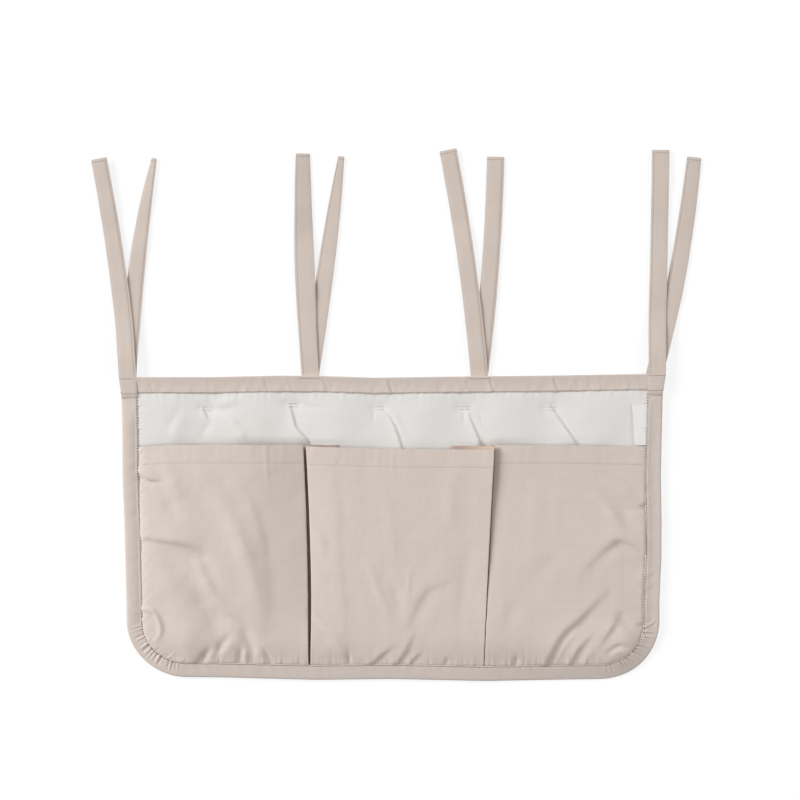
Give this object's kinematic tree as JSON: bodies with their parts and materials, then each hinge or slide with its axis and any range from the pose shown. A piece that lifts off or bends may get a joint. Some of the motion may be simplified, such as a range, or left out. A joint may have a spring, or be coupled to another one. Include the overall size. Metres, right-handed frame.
{
  "type": "crib organizer",
  "caption": "Padded fabric crib organizer with a bound edge, pleated open-top pockets and folded tie straps along its top edge for a cot rail.",
  "frame": {"origin": "middle of the panel, on its back face", "axes": "+X along the panel's width, +Y from the bottom edge towards the ties, +Z out of the pocket side"},
  "size_m": [0.6793, 0.5889, 0.0187],
  "materials": {
    "cotton": "plain-woven beige cotton",
    "lining": "soft off-white cotton over wadding",
    "wadding": "white polyester wadding",
    "label": "bare woven label",
    "thread": "sewing thread"
  },
  "bodies": {
    "panel": {"back_panel": "cotton", "wadding": "wadding", "front_lining": "lining", "edge_binding": "cotton", "top_binding": "cotton", "left_pocket_pleat": "cotton", "middle_pocket_left_pleat": "cotton", "middle_pocket_right_pleat": "cotton", "right_pocket_pleat": "cotton", "tie_1_root": "cotton", "tie_2_root": "cotton", "tie_3_root": "cotton", "tie_4_root": "cotton", "tack_1_1": "thread", "tack_1_2": "thread", "tack_1_3": "thread", "tack_1_4": "thread", "tack_1_5": "thread", "tack_2_1": "thread", "tack_2_2": "thread", "tack_2_3": "thread", "tack_2_4": "thread", "tack_2_5": "thread", "tack_3_1": "thread", "tack_3_2": "thread", "tack_3_3": "thread", "tack_3_4": "thread", "tack_3_5": "thread"},
    "left_pocket": {"left_pocket": "cotton"},
    "middle_pocket": {"middle_pocket": "cotton"},
    "right_pocket": {"right_pocket": "cotton"},
    "side_label": {"side_label": "label"},
    "tie_1_back": {"tie_1_back": "cotton"},
    "tie_1_front": {"tie_1_front": "cotton"},
    "tie_2_back": {"tie_2_back": "cotton"},
    "tie_2_front": {"tie_2_front": "cotton"},
    "tie_3_back": {"tie_3_back": "cotton"},
    "tie_3_front": {"tie_3_front": "cotton"},
    "tie_4_back": {"tie_4_back": "cotton"},
    "tie_4_front": {"tie_4_front": "cotton"}
  },
  "joints": [
    {"name": "left_pocket_gape", "type": "hinge", "parent": "panel", "child": "left_pocket", "pos_m": [-0.19, -0.1506, 0.0066], "axis": [1, 0, 0], "range_deg": [0, 14], "deforming": ["left_pocket_pleat"]},
    {"name": "middle_pocket_gape", "type": "hinge", "parent": "panel", "child": "middle_pocket", "pos_m": [0.005, -0.1506, 0.0066], "axis": [1, 0, 0], "range_deg": [0, 14], "deforming": ["middle_pocket_left_pleat", "middle_pocket_right_pleat"]},
    {"name": "right_pocket_gape", "type": "hinge", "parent": "panel", "child": "right_pocket", "pos_m": [0.19, -0.1506, 0.0066], "axis": [1, 0, 0], "range_deg": [0, 14], "deforming": ["right_pocket_pleat"]},
    {"name": "label_lift", "type": "hinge", "parent": "panel", "child": "side_label", "pos_m": [0.28342, 0.115, 0.0078], "axis": [0, 1, 0], "range_deg": [0, 110]},
    {"name": "tie_1_back_lift", "type": "hinge", "parent": "panel", "child": "tie_1_back", "pos_m": [-0.2928, 0.1684, 0.0112], "axis": [1, 0, 0], "range_deg": [0, 70]},
    {"name": "tie_1_front_lift", "type": "hinge", "parent": "tie_1_back", "child": "tie_1_front", "pos_m": [-0.2928, 0.1684, 0.0112], "axis": [1, 0, 0], "range_deg": [0, 55]},
    {"name": "tie_2_back_lift", "type": "hinge", "parent": "panel", "child": "tie_2_back", "pos_m": [-0.0914, 0.1684, 0.00545], "axis": [1, 0, 0], "range_deg": [0, 70]},
    {"name": "tie_2_front_lift", "type": "hinge", "parent": "tie_2_back", "child": "tie_2_front", "pos_m": [-0.0914, 0.1684, 0.00545], "axis": [1, 0, 0], "range_deg": [0, 55]},
    {"name": "tie_3_back_lift", "type": "hinge", "parent": "panel", "child": "tie_3_back", "pos_m": [0.0968, 0.1684, 0.00545], "axis": [1, 0, 0], "range_deg": [0, 70]},
    {"name": "tie_3_front_lift", "type": "hinge", "parent": "tie_3_back", "child": "tie_3_front", "pos_m": [0.0968, 0.1684, 0.00545], "axis": [1, 0, 0], "range_deg": [0, 55]},
    {"name": "tie_4_back_lift", "type": "hinge", "parent": "panel", "child": "tie_4_back", "pos_m": [0.2928, 0.1684, 0.0112], "axis": [1, 0, 0], "range_deg": [0, 70]},
    {"name": "tie_4_front_lift", "type": "hinge", "parent": "tie_4_back", "child": "tie_4_front", "pos_m": [0.2928, 0.1684, 0.0112], "axis": [1, 0, 0], "range_deg": [0, 55]}
  ]
}
